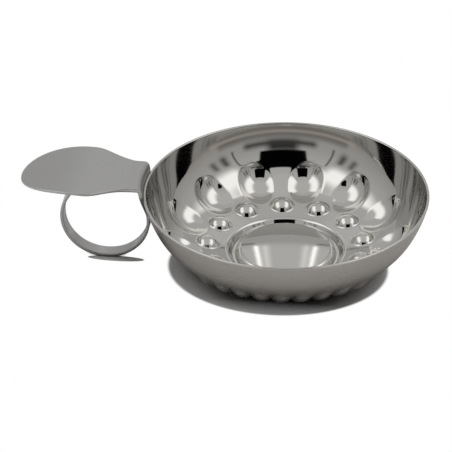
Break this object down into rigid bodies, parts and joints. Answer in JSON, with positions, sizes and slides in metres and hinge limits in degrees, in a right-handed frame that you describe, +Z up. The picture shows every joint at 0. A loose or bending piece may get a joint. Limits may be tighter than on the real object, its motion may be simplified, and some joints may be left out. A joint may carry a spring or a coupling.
{
  "type": "tastevin",
  "caption": "Shallow round steel wine-tasting bowl with an embossed inside, a leaf-shaped thumb rest and a finger ring at one side of the rim.",
  "frame": {"origin": "centre of the ring that the bowl stands on, at the table", "axes": "+Z up along the bowl's axis, handle along -X"},
  "size_m": [0.122, 0.085, 0.0288],
  "materials": {
    "bowl_steel": "polished inside, satin outside",
    "handle_steel": "satin",
    "weld_metal": "dull weld metal, dressed flush"
  },
  "bodies": {
    "root": {"bowl": "bowl_steel", "handle": "handle_steel", "rim_weld": "weld_metal", "ring_weld": "weld_metal"}
  },
  "joints": []
}
